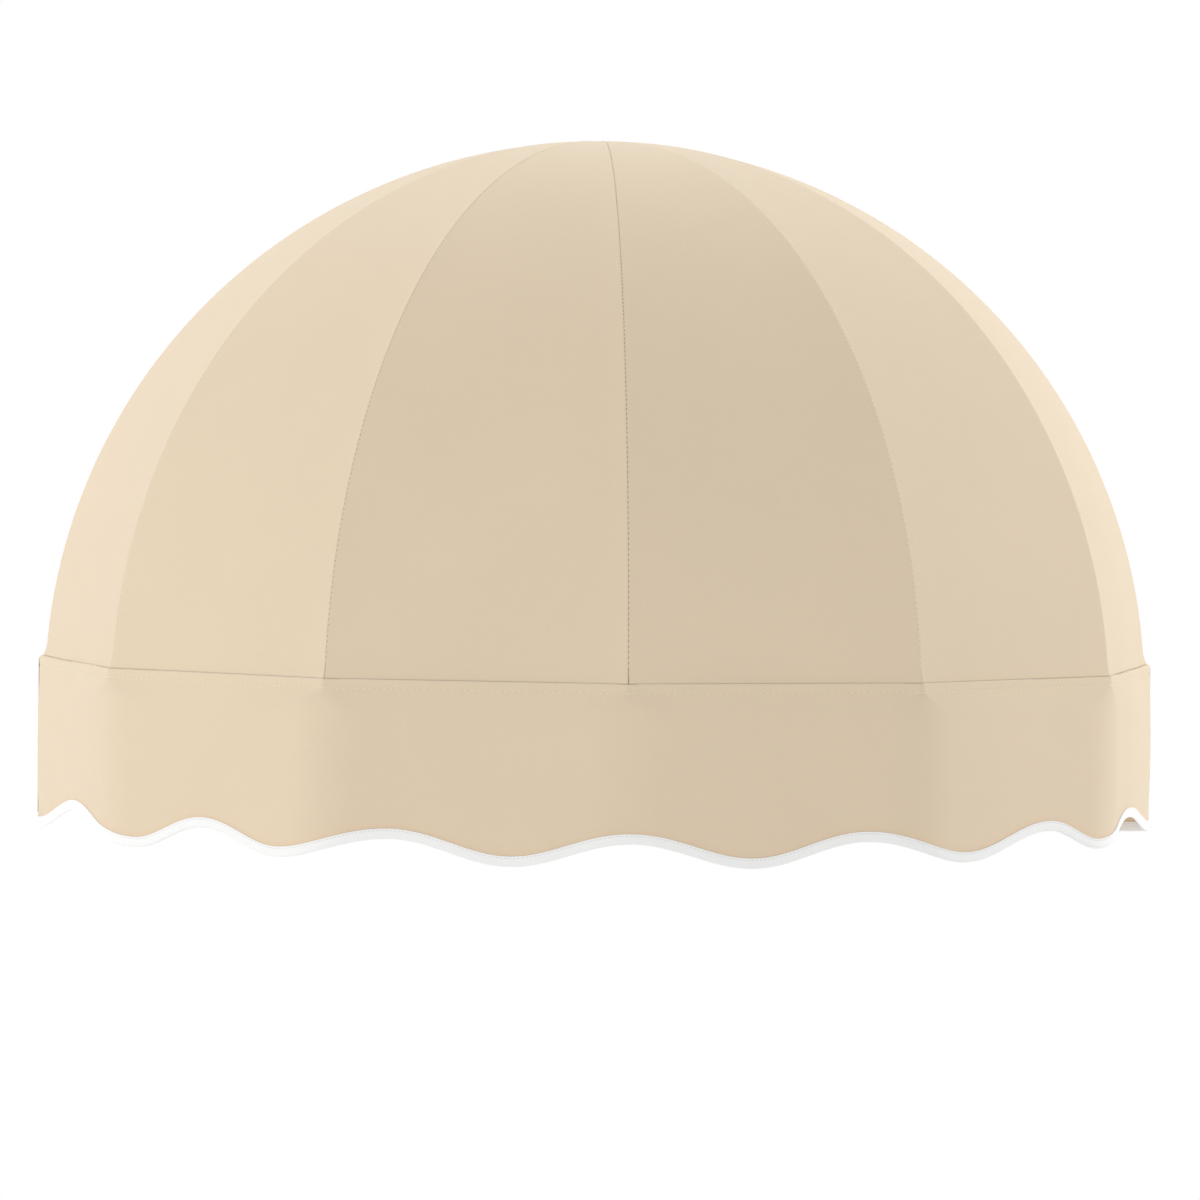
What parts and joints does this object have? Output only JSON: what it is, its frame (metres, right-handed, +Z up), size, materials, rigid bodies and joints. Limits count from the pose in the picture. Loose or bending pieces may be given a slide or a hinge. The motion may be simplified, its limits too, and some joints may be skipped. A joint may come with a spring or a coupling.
{
  "type": "window awning",
  "caption": "Fixed dome awning for a window: panelled beige canvas over ribs, with a hanging valance whose scalloped edge is bound in white tape.",
  "frame": {"origin": "on the wall, at the middle of the back face of the crown hub's plate", "axes": "+Z up, +Y into the wall, so the awning stands out towards -Y; +X along the wall"},
  "size_m": [1.006, 0.5149, 0.6187],
  "materials": {
    "canvas": "woven, matt",
    "binding_tape": "woven, matt",
    "tube": "satin powder coat",
    "casting": "cast, satin"
  },
  "bodies": {
    "root": {"gore_1": "canvas", "gore_2": "canvas", "gore_3": "canvas", "gore_4": "canvas", "gore_5": "canvas", "gore_6": "canvas", "rib_1": "tube", "rib_2": "tube", "rib_3": "tube", "rib_4": "tube", "rib_5": "tube", "wall_arch": "tube", "hoop_tube_1": "tube", "hoop_tube_2": "tube", "hoop_tube_3": "tube", "hoop_tube_4": "tube", "hoop_tube_5": "tube", "hoop_tube_6": "tube", "rib_foot_1": "casting", "rib_foot_2": "casting", "rib_foot_3": "casting", "rib_foot_4": "casting", "rib_foot_5": "casting", "corner_bracket_left": "casting", "corner_bracket_right": "casting", "crown_hub": "casting", "wall_hem": "canvas", "hoop_pocket_1": "canvas", "hoop_pocket_2": "canvas", "hoop_pocket_3": "canvas", "hoop_pocket_4": "canvas", "hoop_pocket_5": "canvas", "hoop_pocket_6": "canvas", "valance": "canvas", "valance_binding": "binding_tape", "end_binding_left": "binding_tape", "corner_binding_left": "binding_tape", "end_binding_right": "binding_tape", "corner_binding_right": "binding_tape"}
  },
  "joints": []
}
